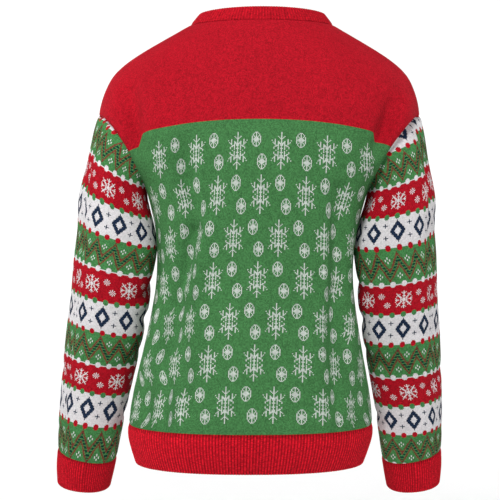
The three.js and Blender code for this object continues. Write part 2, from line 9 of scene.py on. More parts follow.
import bpy
import numpy as np
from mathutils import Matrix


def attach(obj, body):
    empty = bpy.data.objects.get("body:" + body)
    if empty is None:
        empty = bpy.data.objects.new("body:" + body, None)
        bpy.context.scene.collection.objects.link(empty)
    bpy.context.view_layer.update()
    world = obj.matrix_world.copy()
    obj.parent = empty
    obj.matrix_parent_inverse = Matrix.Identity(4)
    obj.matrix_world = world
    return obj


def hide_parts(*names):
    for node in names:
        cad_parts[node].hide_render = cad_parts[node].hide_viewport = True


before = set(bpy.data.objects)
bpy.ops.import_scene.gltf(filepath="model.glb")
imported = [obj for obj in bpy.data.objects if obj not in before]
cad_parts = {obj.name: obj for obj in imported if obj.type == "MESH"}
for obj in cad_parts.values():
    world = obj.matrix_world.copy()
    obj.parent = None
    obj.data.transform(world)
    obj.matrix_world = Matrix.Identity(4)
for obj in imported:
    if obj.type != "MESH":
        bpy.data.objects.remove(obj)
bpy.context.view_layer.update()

MM = 0.001

# Cloth
KNIT_WALL = 2.4
RIB_WALL = 3.0
RIB_RISE = 0.6  # height of a rib over its hollow
RIB_PITCH = 4.8
CUFF_RIB_PITCH = 3.7
COLUMNS_A_RIB = 4
SEAM_DIP = 1.6  # how deep a seam lies in the cloth
SLEEVE_SEAM_DIP = 0.8
SEAM_WIDE = 3.2
EDGE_ROLL = 1.6  # the free edge of a band is rounded over this height
EDGE_ROLL_SHARE = 0.96  # share of that rounding, so that the edge isn't sharp

# Main sizes
SWAY = 0.0285  # how far the garment leans to the wearer's left for each millimetre down
SEAM_Y = -5  # the shoulder seams and the sides lie at this depth
NECK_SIDE = (116, 3)
SHOULDER_TIP = (259.5, -142)
UNDERARM = (178, -262)
ARMHOLE_BACK = 67  # how far the armhole reaches to the back
ARMHOLE_FRONT = 70
ARMHOLE_IN = 18  # how far the armhole curves in towards the neck
ARMHOLE_IN_POWER = 0.35  # the larger this is, the higher up that curve lies
HEM_SEAM_Z = -636
HEM_Z = -699
CUFF_SEAM = 482  # length along a sleeve to the cuff's seam
CUFF_LENGTH = 56
BAND_HEIGHT = 24  # of the neck band
BAND_LEAN = 10  # how far the neck band leans in at the middle of the back and front
BAND_SIDE_LEAN = 19
NECK_DIP_POWER = 1.5
SLEEVE_ROUND = 2.2  # an ellipse is 2, and more is squarer
CAP_LENGTH = 70  # a sleeve starts this much higher at its outer side than at the underarm
CAP_SHARE = 0.16  # share of a sleeve in which the armhole's shape turns into a tube
EDGE_CROWDING = 0.35  # how much closer the columns lie at a panel's edges

# Mesh steps: those of the solids, and how many times finer they are here
SHOULDER_STEPS = 7
ARMHOLE_STEPS = 10
BODY_STEPS = 12
PANEL_STEPS = 13
SLEEVE_STEPS = 20
FINER = 6
FINER_ACROSS = 5
QUARTER_STEPS = 240
MEASURE_STEPS = 200
STITCH_RINGS = 40  # rings by which the stitches round a sleeve are counted
BAND_ROWS = 9
EDGE_ROWS = (0.6, 0.3, 0.1, 0)  # rows of a rounded edge, in shares of its height from the end
EVEN_ROUNDS = 10
EVEN_FADE = 70  # a panel's rows are evened out less within this distance of its edges
SHARING_ROUNDS = 6

# Places inside the body, which tell a panel's inside from its outside
MIDDLE_SHARE = 0.6  # their distance from the middle, in shares of the point's
MIDDLE_BELOW = 60
MIDDLE_TOP = -90

# Creases
EDGE_FADE = 22  # creases fade out within this distance of a panel's edges
FOLD_EVEN = 0.45  # share of a crease's depth that is even all along it
FOLD_ENDS = 0.12  # part of the rise and fall of the rest that is cut off at each end
SLEEVE_FOLDS_END = 0.94  # share of a sleeve where its creases start to fade out
TUCK_PAST = 0.2  # a tuck's line runs on by this share past its ends
TUCK_FADE_FROM = -0.35
TUCK_FADE_TO = 0.25
TUCK_STEEP = 2

# Knit. A stitch is this wide and this high.
STITCH = 1.667
ROW = 1.488
SLEEVE_STITCH = 1.66
SLEEVE_ROW = 157 / 104
YOKE_END = 162.5  # how far down the plain yoke ends at the middle of the back
ROW_DROP = 20  # how far a row of stitches drops towards the sides
ROW_DROP_AT = 190
ROW_DROP_POWER = 2.2
CORNER_LEFT = 22  # the yoke's edge dips this much more beside the left armhole
CORNER_RIGHT = 14
CORNER_LEFT_AT = 187
CORNER_RIGHT_AT = 179
CORNER_WIDE = 7
CORNER_FADE_FROM = 215  # below this the rows there go back to their places
CORNER_FADE_TO = 250
ROW_STRETCH = 7  # the first rows of snowflakes lie this much higher
ROW_STRETCH_FROM = 200
ROW_STRETCH_TO = 345
YOKE_ROWS = round((YOKE_END + ROW_STRETCH) / ROW)
WIDE_AT_TOP = 0.935  # width of a stitch under the yoke, in shares of STITCH
WIDE_GROWS = 0.1  # how much wider it is above the hem
WIDE_FROM = 160
WIDE_TO = 600
KNIT_LEAN = 0.0117  # how far the columns of stitches lean to the left for each millimetre down
KNIT_SKEW = 0.0004  # stitches are wider on the right of the middle than on the left
KNIT_SKEW_TO = 200
SLEEVE_SEAM_TURN = 45  # degrees round a sleeve to its seam, from its outer side by way of the back
JOG_LEFT = 6  # how far the bands are out of step at the top of a sleeve's seam
JOG_RIGHT = 14
JOG_ENDS = 200
JOG_FADE_FROM = 20  # degrees from the seam in which the bands get back in step
JOG_FADE_TO = 150
SEAM_SQUEEZE = 14  # cloth that is drawn in along the sleeve's seam
SEAM_SQUEEZE_WIDE = 11

# Figures of the body, in stitches and rows
FLAKES_AT = 216  # millimetres of knit to the first row of snowflakes
FLAKE_ROWS = 7
BODY_REPEAT = 42
FLAKE_OFFSET = 22  # a snowflake lies this far to the right of the middle
ODD_ROW_OFFSET = -18  # and every other row of them this much less
SMALL_ACROSS = 18
SMALL_UP = 11
OUTERMOST = 118

# Bands of the sleeves, in stitches and rows
SLEEVE_REPEAT = 104
RED_ENDS = 33
RED_MIDDLE = 17
WHITE_ENDS = 67
WHITE_MIDDLE = 50
GREEN_MIDDLE = 86
FLAKE_PITCH = 38
SMALL_FLAKE_ACROSS = 3
SMALL_FLAKE_UP = 5
LOZENGE_PITCH = 24
LOZENGE_WIDE = 8
LOZENGE_HIGH = 12.5
LOZENGE_HOLE = 0.44
CROSS_UP = 7
ZIGZAG_PITCH = 19
ZIGZAG_OFFSET = 5.5
ZIGZAG_HIGH = 17
DASHES_WIDE = 2.6
RUST_FROM = 3.4
RUST_TO = 6.8
DOTS_UP = 8
LOW_DOTS_OFFSET = 4
HIGH_DOTS_OFFSET = -5
DOT_APART = 2  # from the middle of a cluster to its dots
DOT_RADIUS = 0.9
BEAD_PITCH = 11
BEAD_RADIUS = 2.9
WHITE_LINE = 0.6  # half the height of the line between the green and the red bands

# Look of the yarn
YARN_BUMP = 0.0006
BUMP_STRENGTH = 0.8
LEG_SLANT = 0.9  # how far the legs of a stitch rise, in rows
LOOP_POWER = 0.6
LOOP_SHARE = 0.65  # how much lower the yarn lies at the ends of a leg
# How much darker the yarn is painted where it lies low in a stitch, as shade in the knit's grooves.
STITCH_SHADE = 0.3
FLUFF_SCALE = 420
FLUFF_SHADE = 0.4
CLOUD_SCALE = 14
CLOUD_SHADE = 0.12
BASE_SHADE = 0.44
UNEVEN = 0.56  # how much dark stitches differ from each other
UNEVEN_LESS = 0.5  # how much less than that for a white yarn
FIBRE_SCALE = 1400
FIBRE_HEIGHT = 0.5
FLOAT_STITCHES = 5  # length of a float on the inside, in stitches
FLOAT_GAPS = 0.62
FLOAT_SHOWS = 0.5
FIRST_ROW = -100  # a row above all the rows of a sleeve
PLAIN_ROWS = 100  # more rows than a rib band has
YARN_ROUGHNESS = 0.92
YARN_SPECULAR = 0.1
MIX_A, MIX_B, MIX_RESULT = 6, 7, 2  # the colour sockets of a mix node


def table(names, *rows):
    return dict(zip(names.split(), np.array(rows, float).T))


SHOULDER_LINE = table(
    "along x z",
    (0.0, *NECK_SIDE),
    (0.12, 137, -10),
    (0.25, 162, -24),
    (0.39, 189, -39.5),
    (0.55, 217, -58),
    (0.68, 238, -78),
    (0.78, 248, -98),
    (0.88, 255, -118),
    (1.0, *SHOULDER_TIP),
)
YOKE = table(
    "level back_y back_z front_y front_z round",
    (0.0, 64, 0, -82, -75, 2.0),
    (0.25, 80, -25, -89, -88, 2.05),
    (0.5, 94, -58, -95, -102, 2.15),
    (0.75, 105, -96, -101, -120, 2.25),
    (1.0, 114, -145, -109, -147, 2.35),
    (1.5, 118, -203, -121, -205, 2.4),
    (2.0, 116, -262, -125, -262, 2.3),
)
BODY = table(
    "z half back_y front_y round seam_back",
    (-262, 178, 116, -125, 2.3, 0),
    (-300, 168, 111, -122, 2.35, 9),
    (-343, 159, 106, -117, 2.4, 24),
    (-385, 155.5, 104, -113, 2.35, 30),
    (-437, 161.5, 106, -113, 2.35, 20),
    (-504, 173, 110, -116, 2.35, 8),
    (-570, 187, 115, -120, 2.35, 2),
    (-610, 194, 119, -123, 2.35, 0),
    (-636, 196, 120, -124, 2.35, 0),
    (-656, 196, 118, -122, 2.35, 0),
    (-680, 189.5, 113, -117, 2.35, 0),
    (-699, 183, 106, -110, 2.35, 0),
)
SLEEVE = table(
    "along x y z half depth tilt lean",
    (-70, 219, -5, -200, 72, 67, 50, 0),
    (0, 228, -3, -237, 54, 62, 33, 3),
    (60, 226.4, -4, -297, 66.2, 59, 22, 8),
    (106, 224.3, -7, -339, 67.4, 58, 17, 11),
    (157, 230, -12, -385, 66, 57, 13.5, 12.5),
    (213, 236, -25, -440, 65, 56, 12, 13),
    (283, 247, -41, -507, 63, 54, 11, 13),
    (375, 262, -62, -597, 57.5, 50, 11, 13),
    (445, 271.5, -78, -664, 53.5, 47, 11, 13.5),
    (482, 275.5, -86, -701, 50.5, 44, 11, 14),
    (512, 279.5, -93, -730, 48.5, 42, 9, 14),
    (538, 282, -99, -757, 45, 38, 6, 14),
)

# Folds of the panels, as soft troughs, or ridges where depth is below zero, between two points.
BACK_FOLDS = table(
    "x1 z1 x2 z2 depth wide",
    (206, -112, 188, -200, 18, 16),
    (-208, -132, -185, -206, 17, 15),
    (-232, -128, -214, -180, -4, 12),
    (134, -42, 134, -163, 2.5, 14),
    (113, -200, 96, -330, 10, 14),
    (99, -335, 128, -440, 18, 16),
    (136, -300, 128, -400, 5, 20),
    (78, -325, 95, -430, -6, 12),
    (116, -446, 140, -540, 11, 15),
    (88, -450, 92, -560, -3, 12),
    (126, -560, 150, -610, 4, 13),
    (-126, -270, -128, -420, 10, 14),
    (-108, -300, -108, -440, -2.5, 11),
    (-122, -430, -128, -590, 10, 14),
    (-150, -470, -156, -590, -3, 10),
    (-60, -520, -90, -600, 2, 15),
    (36, -545, 20, -610, 1.6, 14),
    (60, -230, 84, -300, 2, 12),
)
FRONT_FOLDS = table(
    "x1 z1 x2 z2 depth wide",
    (205, -118, 187, -205, 18, 15),
    (-207, -122, -187, -205, 17, 15),
    (132, -225, 112, -360, 6, 15),
    (-126, -260, -134, -410, 7, 15),
    (-96, -400, -128, -520, 5, 15),
    (104, -430, 132, -560, 5, 15),
    (-40, -560, -62, -615, 2, 15),
)
SLEEVE_FOLDS = table(
    "along turn span skew depth wide",
    (178, 170, 75, -30, 4.5, 12),
    (236, 190, 90, 26, 5, 12),
    (300, 150, 80, -24, 4, 11),
    (350, 40, 70, 22, 3.5, 11),
    (408, 165, 85, -20, 3.5, 10),
    (455, 80, 110, 14, 3.5, 9),
    (130, 60, 60, 16, 2, 10),
    (262, 70, 60, -14, 2, 9),
)

# The knit of the sleeves, by length along them. A snowflake's middle lies at the turn, in degrees. The bands
# lie lower by low, and on the right they also tip, lower on the outer side.
SLEEVE_KNIT = table(
    "along turn_left turn_right low_left low_right tip_right",
    (0, 145, 100, -5, 13, 9),
    (45, 141, 97, -5, 8.5, 13),
    (100, 127, 91, -5, 7, 10),
    (151, 119, 87, -5, 15, 6),
    (250, 122, 92, -5, 13, 5),
    (308, 125, 98, -5, 15.5, 5),
    (385, 124, 90, -5, 16, 5),
    (482, 118, 90, 16, 16, 5),
)

# Where cloth is taken into a crease, so that its figures look narrower there. take is how much.
BACK_TUCKS = table(
    "x1 z1 x2 z2 take wide",
    (78, -280, 88, -350, 9, 9),
    (90, -365, 94, -450, 14, 10),
    (110, -430, 113, -500, 12, 9),
    (95, -470, 92, -570, 9, 10),
    (128, -410, 140, -520, 10, 12),
    (120, -560, 122, -630, 22, 10),
    (152, -560, 156, -630, 16, 9),
    (-158, -165, -150, -230, 8, 10),
    (-112, -290, -118, -430, 9, 9),
    (-120, -440, -126, -640, 24, 10),
    (-136, -500, -140, -560, 12, 9),
    (-150, -560, -154, -630, 16, 9),
)
FRONT_TUCKS = table(
    "x1 z1 x2 z2 take wide",
    (126, -240, 114, -350, 8, 10),
    (-128, -280, -132, -400, 8, 10),
    (-100, -410, -124, -510, 7, 10),
    (108, -440, 128, -550, 8, 10),
)

# Colours of the yarns. On a rib band the red is painted lighter on the ribs and darker in the hollows, as
# light and shade, so a rib is lighter than plain knit. The neck's ribs catch more of the key light, so their
# red is painted deeper, as shade.
RED = (0.445, 0.005, 0.0155, 1)
LIT_RIB_RED = (0.71, 0.007, 0.021, 1)
SHADED_HOLLOW_RED = (0.37, 0.004, 0.012, 1)
SHADED_NECK_RED = (0.50, 0.005, 0.015, 1)
GREEN = (0.060, 0.203, 0.065, 1)
SLEEVE_GREEN = (0.062, 0.235, 0.072, 1)
DARK_GREEN = (0.004, 0.045, 0.028, 1)
RUST = (0.18, 0.045, 0.028, 1)
WHITE = (0.79, 0.765, 0.78, 1)
FLAKE_WHITE = (0.56, 0.61, 0.56, 1)
NAVY = (0.012, 0.025, 0.060, 1)

# Charts of the knitted figures. Each is one quarter: from the middle out, and from the middle up or down.
BODY_FLAKE = """
#....#....
#..#......
##.#...#..
#..#...#..
#..#.##...
##.###....
##.#..#...
####..##..
#.##..#.#.
#..#..#...
#.....#..#
#.....#...
##........
#.#.......
#..#......
#.........
#.........
#.........
#.........
"""
BODY_SMALL = """
#####
###.#
##..#
#.#.#
#..#.
#..#.
#.#..
##...
"""
SLEEVE_FLAKE = """
####.####.
##.#...#..
#.##....#.
#..##.....
##..##.#..
#....##...
#...#.#...
##.....#..
#.#.......
#.........
"""
SLEEVE_SMALL = """
#.##
.#..
#.#.
#...
"""
SMALL_CROSS = """
###
#..
#..
"""


def read(rows, key, column, place):
    """One column of a table at places between its rows, on a smooth curve through them."""
    k, v = rows[key], rows[column]
    place = np.asarray(place, float)
    rising = 1 if k[1] > k[0] else -1
    i = np.clip(np.searchsorted(k * rising, place * rising) - 1, 0, len(k) - 2)
    order = np.arange(len(k))
    lo, hi = np.maximum(order - 1, 0), np.minimum(order + 1, len(k) - 1)
    slope = (v[hi] - v[lo]) / (k[hi] - k[lo])
    span = k[i + 1] - k[i]
    t = np.clip((place - k[i]) / span, 0, 1)
    a, b = v[i], v[i + 1]
    da, db = slope[i] * span, slope[i + 1] * span
    return a + t * (da + t * (3 * (b - a) - 2 * da - db + t * (2 * (a - b) + da + db)))


def ease(x, lo, hi):
    t = np.clip((x - lo) / (hi - lo), 0, 1)
    return t * t * (3 - 2 * t)


def unit(v):
    return v / np.maximum(np.linalg.norm(v, axis=-1, keepdims=True), 1e-9)


def mix(a, b, share):
    return a + (b - a) * share


def quarter(middle, edge, roundness):
    """A quarter of a section, from the middle of a panel to the panel's edge."""
    turn = np.linspace(0, np.pi / 2, QUARTER_STEPS + 1)
    out = np.sin(turn) ** (2 / roundness)
    deep = np.maximum(np.cos(turn), 0) ** (2 / roundness)
    x = edge[0] * out
    y = mix(edge[1], middle[1], deep)
    z = mix(edge[2], middle[2], deep**NECK_DIP_POWER)
    return np.stack([x, y, z], 1)


def lengths(points, axis=0):
    """Length along lines of points, from the first point of each."""
    steps = np.linalg.norm(np.diff(points, axis=axis), axis=-1)
    first = np.zeros_like(steps.take([0], axis))
    return np.concatenate([first, np.cumsum(steps, axis)], axis)


def spaced(points, places, end=None):
    """Points spaced along a line by the shares in places, from its start to a length of end."""
    far = lengths(points)
    want = places * (far[-1] if end is None else end)
    return np.stack([np.interp(want, far, points[:, k]) for k in range(3)], 1)


def armhole_point(turn, panel):
    """The armhole seam at a turn from 0 at the shoulder's tip to pi at the underarm."""
    down = (1 - np.cos(turn)) / 2
    bow = np.sin(turn)
    reach = ARMHOLE_BACK if panel == "back" else -ARMHOLE_FRONT
    x = mix(SHOULDER_TIP[0], UNDERARM[0], down) - ARMHOLE_IN * bow * (1 - down) ** ARMHOLE_IN_POWER
    return np.array([x, SEAM_Y + reach * bow, mix(SHOULDER_TIP[1], UNDERARM[1], down)])


def yoke_half(panel, level):
    """Half of a panel's section above the underarm."""
    place = level
    if level <= 1:
        x = read(SHOULDER_LINE, "along", "x", level)
        z = read(SHOULDER_LINE, "along", "z", level)
        edge = (x, SEAM_Y, z)
    else:
        turn = (level - 1) * np.pi
        edge = armhole_point(turn, panel)
        place = 1.5 - np.cos(turn) / 2
    y = read(YOKE, "level", panel + "_y", place)
    z = read(YOKE, "level", panel + "_z", place)
    return quarter((0, y, z), edge, read(YOKE, "level", "round", place))


def body_half(panel, z, places, left):
    """Half of a panel's section below the underarm. left is 1 on the wearer's left and -1 on the right."""
    side = (read(BODY, "z", "half", z), SEAM_Y, z)
    roundness = read(BODY, "z", "round", z)
    back = quarter((0, read(BODY, "z", "back_y", z), z), side, roundness)
    front = quarter((0, read(BODY, "z", "front_y", z), z), side, roundness)
    ring = np.concatenate([back, front[::-1][1:]])
    shift = read(BODY, "z", "seam_back", z) if left > 0 else 0
    cut = lengths(back)[-1] - shift
    if panel == "back":
        return spaced(ring, places, cut)
    return spaced(ring[::-1], places, lengths(ring)[-1] - cut)


def whole_row(right, left):
    """The two halves of a row joined, from the right edge to the left edge."""
    mirrored = right[1:][::-1] * (-1, 1, 1)
    return np.concatenate([mirrored, left])


def body_row(panel, z, places):
    return whole_row(body_half(panel, z, places, -1), body_half(panel, z, places, 1))


class Sheet:
    """A sheet of cloth: points in rows, the way to its inside, and where each point lies in the knit.

    flat is its points before its creases are pressed in. start is where a sleeve's first column lies, in
    steps round from the top of the armhole."""

    def __init__(self, points, closed=False):
        self.points = points
        self.closed = closed
        self.lift = np.zeros(points.shape[:2])
        self.knit = np.zeros((*points.shape[:2], 2))
        self.inward = None
        self.flat = points
        self.start = 0

    def face_in(self, middle):
        p = self.points
        if self.closed:
            across = np.roll(p, -1, 1) - np.roll(p, 1, 1)
        else:
            across = np.gradient(p, axis=1)
        n = unit(np.cross(np.gradient(p, axis=0), across))
        wrong = np.sum(n * (middle - p), -1, keepdims=True) < 0
        self.inward = np.where(wrong, -n, n)


def torso_middle(p):
    """For each point of a panel, a place inside the body."""
    height = np.minimum(p[..., 2] - MIDDLE_BELOW, MIDDLE_TOP)
    return np.stack([p[..., 0] * MIDDLE_SHARE, np.full(p.shape[:2], SEAM_Y), height], -1)


def even_out(rows):
    """Evens out the rows of a panel away from its edges, as the solids' rows are."""
    for _ in range(EVEN_ROUNDS * FINER * FINER):
        far = np.linalg.norm(rows - rows[:, :1], axis=-1)
        far = np.minimum(far, np.linalg.norm(rows - rows[:, -1:], axis=-1))
        share = (ease(far, 0, EVEN_FADE) / 2)[1:-1, :, None]
        between = (rows[:-2] + rows[2:]) / 2
        rows[1:-1] += (between - rows[1:-1]) * share
    return rows


def fold_depth(folds, x, z):
    """How deep the creases of a panel are at x and z."""
    depth = np.zeros_like(x)
    for x1, z1, x2, z2, deep, wide in zip(*folds.values()):
        dx, dz = x2 - x1, z2 - z1
        held = np.clip(((x - x1) * dx + (z - z1) * dz) / (dx * dx + dz * dz), 0, 1)
        off = np.hypot(x - x1 - held * dx, z - z1 - held * dz)
        bow = np.sin(np.pi * mix(FOLD_ENDS, 1 - FOLD_ENDS, held))
        swell = mix(FOLD_EVEN, 1, bow)
        depth += deep * swell * np.exp(-((off / wide) ** 2))
    return depth


def panel_sheet(panel, folds, tucks):
    """A front or back panel, from the neckline and shoulders down to the hem's seam."""
    u = np.arange(PANEL_STEPS * FINER_ACROSS + 1) / (PANEL_STEPS * FINER_ACROSS)
    across = u * (1 + EDGE_CROWDING) - EDGE_CROWDING * u * u
    levels = np.linspace(0, 1, SHOULDER_STEPS * FINER + 1)
    levels = np.concatenate([levels, 1 + np.linspace(0, 1, ARMHOLE_STEPS * FINER + 1)[1:]])
    rows = []
    for level in levels:
        half = spaced(yoke_half(panel, level), across)
        rows.append(whole_row(half, half))
    for z in np.linspace(UNDERARM[1], HEM_SEAM_Z, BODY_STEPS * FINER + 1)[1:]:
        rows.append(body_row(panel, z, across))
    sheet = Sheet(even_out(np.array(rows)))
    sheet.face_in(torso_middle(sheet.points))
    count_rows(sheet)
    press_folds(sheet, folds)
    count_stitches(sheet, tucks)
    return sheet


def count_rows(sheet):
    """Length of the knit down to each point of a panel. Its rows drop towards the sides."""
    p = sheet.points
    drop = ROW_DROP * (np.abs(p[..., 0]) / ROW_DROP_AT) ** ROW_DROP_POWER
    left = p[..., 0] > 0
    past = np.abs(p[..., 0]) - np.where(left, CORNER_LEFT_AT, CORNER_RIGHT_AT)
    corner = np.where(left, CORNER_LEFT, CORNER_RIGHT) * ease(past / CORNER_WIDE, -0.5, 0.5)
    drop += corner * (1 - ease(-p[..., 2], CORNER_FADE_FROM, CORNER_FADE_TO))
    v = -p[..., 2] - drop
    base = SHOULDER_STEPS * FINER
    down = lengths(sheet.points)
    v[:base] = v[base] - (down[base] - down[:base])
    sheet.knit[..., 1] = v + ROW_STRETCH * (1 - ease(v, ROW_STRETCH_FROM, ROW_STRETCH_TO))


def count_stitches(sheet, tucks):
    """Length of the stitches between a panel's middle and each point, with those in its creases."""
    far = lengths(sheet.points, 1)
    middle = far.shape[1] // 2
    v = sheet.knit[..., 1]
    u = far - far[:, middle : middle + 1] + taken_in(tucks, sheet.flat[..., 0], sheet.flat[..., 2])
    u = u - KNIT_LEAN * (v - ROW_STRETCH_FROM)
    wide = WIDE_AT_TOP + WIDE_GROWS * ease(v, WIDE_FROM, WIDE_TO)
    sheet.knit[..., 0] = u / wide + KNIT_SKEW * np.minimum(np.abs(u), KNIT_SKEW_TO) ** 2


def taken_in(tucks, x, z):
    """Cloth that is hidden in the creases between the middle and x."""
    total = np.zeros_like(x)
    for x1, z1, x2, z2, take, wide in zip(*tucks.values()):
        share = (z - z1) / (z2 - z1)
        line = mix(x1, x2, np.clip(share, -TUCK_PAST, 1 + TUCK_PAST))
        side = math.copysign(1, x1)
        swell = ease(share, TUCK_FADE_FROM, TUCK_FADE_TO)
        swell = swell * ease(1 - share, TUCK_FADE_FROM, TUCK_FADE_TO)
        passed = 0.5 + 0.5 * np.tanh(side * (x - line) / wide * TUCK_STEEP)
        total += side * take * swell * passed
    return total


def press_folds(sheet, folds):
    """Presses a panel's creases in, away from its edges."""
    p = sheet.points
    sheet.flat = p
    ends = [p[:, :1], p[:, -1:], p[:1], p[-1:]]
    clear = np.min([np.linalg.norm(p - end, axis=-1) for end in ends], axis=0)
    press = ease(clear, 0, EDGE_FADE) * fold_depth(folds, p[..., 0], p[..., 2])
    sheet.points = p + sheet.inward * press[..., None]
    sheet.face_in(torso_middle(sheet.points))


def sleeve_point(along, turn):
    """A point of a sleeve's ring. turn runs from the outer side by way of the back."""

    def get(column):
        return read(SLEEVE, "along", column, along)

    def squared(v):
        return np.sign(v) * np.abs(v) ** (2 / SLEEVE_ROUND)

    tilt, lean = np.radians(get("tilt")), np.radians(get("lean"))
    wide = get("half") * squared(np.cos(turn))
    deep = get("depth") * squared(np.sin(turn))
    x = get("x") + wide * np.cos(tilt)
    y = get("y") + deep * np.cos(lean)
    z = get("z") + wide * np.sin(tilt) - deep * np.sin(lean)
    return np.stack([x, y, z], -1)


def sleeve_fold_depth(along, turn):
    """How deep the creases of a sleeve are at a length along it and a turn."""
    depth = np.zeros_like(along)
    for at, middle, span, skew, deep, wide in zip(*SLEEVE_FOLDS.values()):
        off = ((np.degrees(turn) - middle + 540) % 360 - 180) / span
        away = (along - at - skew * off) / wide
        bend = np.where(np.abs(off) > 1, 0, np.cos(off * np.pi / 2) ** 2)
        depth += deep * bend * np.exp(-(away**2))
    return depth


def sleeve_sheet(side):
    """A sleeve, from the armhole down. Its columns start at the sleeve's own seam."""
    around = ARMHOLE_STEPS * 2 * FINER
    start = round(SLEEVE_SEAM_TURN / 360 * around)
    j = (np.arange(around) + start) % around
    turn = j / around * 2 * np.pi
    back = armhole_point(turn, "back").T
    front = armhole_point(2 * np.pi - turn, "front").T
    seam = np.where((j <= around // 2)[:, None], back, front)
    share = np.linspace(0, 1, SLEEVE_STEPS * FINER + 1)[:, None]
    along = mix((-CAP_LENGTH / 2) * (1 + np.cos(turn)), CUFF_SEAM, share)
    turns = np.broadcast_to(turn, along.shape)
    tube = sleeve_point(along, turns)
    across = sleeve_point(along, turns + np.pi)
    clear = ease(share, CAP_SHARE / 2, CAP_SHARE * 1.5) * (1 - ease(share, SLEEVE_FOLDS_END, 1))
    press = clear * sleeve_fold_depth(along, turns)
    tube = tube + unit(across - tube) * press[..., None]
    turning = 1 - (1 - np.minimum(share / CAP_SHARE, 1)) ** 2
    points = mix(seam[None], tube, turning[..., None]) * (side, 1, 1)
    sheet = Sheet(points, closed=True)
    sheet.face_in(points.mean(1, keepdims=True))
    sheet.start = start
    sheet.knit[..., 0] = sleeve_stitches(along, side)
    # Over the cap the stitches run on up the columns, so the armhole seam cuts the bands.
    cap = math.ceil(CAP_SHARE * SLEEVE_STEPS * FINER)
    down = lengths(sheet.points)
    sheet.knit[:cap, :, 0] = sheet.knit[cap, :, 0]
    sheet.knit[..., 1] = along
    sheet.knit[:cap, :, 1] = along[cap] - (down[cap] - down[:cap])
    low = read(SLEEVE_KNIT, "along", "low_left", along)
    jog = JOG_LEFT
    if side < 0:
        low = read(SLEEVE_KNIT, "along", "low_right", along)
        low = low + read(SLEEVE_KNIT, "along", "tip_right", along) * np.cos(turn)
        jog = JOG_RIGHT
    # The two edges of the panel don't quite match at the sleeve's seam near the top.
    to_seam = (1 - np.arange(around) / around) * 360
    slip = jog * (1 - ease(along, 0, JOG_ENDS)) * (1 - ease(to_seam, JOG_FADE_FROM, JOG_FADE_TO))
    sheet.knit[..., 1] += slip - low
    return sheet


def sleeve_stitches(along, side):
    """Length round the sleeve from a snowflake's middle to each point, by rings square to the sleeve."""
    around = along.shape[1]
    seam = math.radians(SLEEVE_SEAM_TURN)
    turn = seam + np.arange(around + 1) / around * 2 * np.pi
    levels = np.linspace(0, CUFF_SEAM, STITCH_RINGS)
    level, turns = np.meshgrid(levels, turn, indexing="ij")
    far = lengths(sleeve_point(level, turns), 1)
    girth = far[:, -1:]
    middle = np.radians(read(SLEEVE_KNIT, "along", "turn_left" if side > 0 else "turn_right", levels))
    u = far - np.array([np.interp(at, turn, row) for at, row in zip(middle, far)])[:, None]
    u += SEAM_SQUEEZE * (np.exp((far - girth) / SEAM_SQUEEZE_WIDE) - np.exp(-far / SEAM_SQUEEZE_WIDE))
    # Seen from behind, stitches are counted from left to right on both sleeves.
    return side * np.stack([np.interp(along[:, j], levels, u[:, j]) for j in range(around)], 1)


def knit_ribs(sheet, heights):
    """Ribs raised all along a band. In the knit a rib and its hollow are one stitch each."""
    column = np.arange(sheet.points.shape[1])
    sheet.lift[:] = RIB_RISE * (0.5 - 0.5 * np.cos(column * 2 * np.pi / COLUMNS_A_RIB))
    sheet.knit[..., 0] = (column + 1) / COLUMNS_A_RIB * RIB_PITCH
    sheet.knit[..., 1] = heights[:, None]
    return sheet


def band_rows(height):
    """Heights of a band's rows: even ones, then close ones where its free edge is rounded."""
    even = np.linspace(0, height - EDGE_ROLL, BAND_ROWS)
    return np.concatenate([even, height - EDGE_ROLL * np.array(EDGE_ROWS)])


def cuff_sheet(side):
    """A cuff goes on down the sleeve's own rings."""
    ribs = round(2 * np.pi * read(SLEEVE, "along", "half", CUFF_SEAM) / CUFF_RIB_PITCH)
    around = ribs * COLUMNS_A_RIB
    turn = np.arange(around) / around * 2 * np.pi
    heights = band_rows(CUFF_LENGTH)
    along, turns = np.meshgrid(CUFF_SEAM + heights, turn, indexing="ij")
    sheet = Sheet(sleeve_point(along, turns) * (side, 1, 1), closed=True)
    sheet.face_in(sheet.points.mean(1, keepdims=True))
    return knit_ribs(sheet, heights)


def hem_sheet(panel):
    """Half of the hem's band, under one of the panels."""
    half = lengths(body_half(panel, HEM_SEAM_Z, np.linspace(0, 1, MEASURE_STEPS), 1))[-1]
    steps = round(half / RIB_PITCH) * COLUMNS_A_RIB
    places = np.linspace(0, 1, steps + 1)
    heights = band_rows(HEM_SEAM_Z - HEM_Z)
    sheet = Sheet(np.array([body_row(panel, HEM_SEAM_Z - height, places) for height in heights]))
    sheet.face_in(torso_middle(sheet.points))
    return knit_ribs(sheet, heights)


def neck_sheet(back, front):
    """The neck band stands on the neckline and leans in."""
    neckline = np.concatenate([back.points[0], front.points[0][1:-1][::-1]])
    ring = np.concatenate([neckline, neckline[:1]])
    girth = lengths(ring)[-1]
    count = round(girth / RIB_PITCH) * COLUMNS_A_RIB
    foot = spaced(ring, np.arange(count) / count)
    aside = (foot[:, :1] / NECK_SIDE[0]) ** 2
    lean = np.arctan2(mix(BAND_LEAN, BAND_SIDE_LEAN, aside), BAND_HEIGHT)
    inward = unit(np.stack([-foot[:, 0], SEAM_Y - foot[:, 1], np.zeros(count)], 1))
    heights = band_rows(BAND_HEIGHT)
    up = np.array([0, 0, 1])
    rows = [foot + height * (inward * np.sin(lean) + up * np.cos(lean)) for height in heights]
    sheet = Sheet(np.array(rows), closed=True)
    sheet.face_in(sheet.points.mean(1, keepdims=True))
    return knit_ribs(sheet, heights)


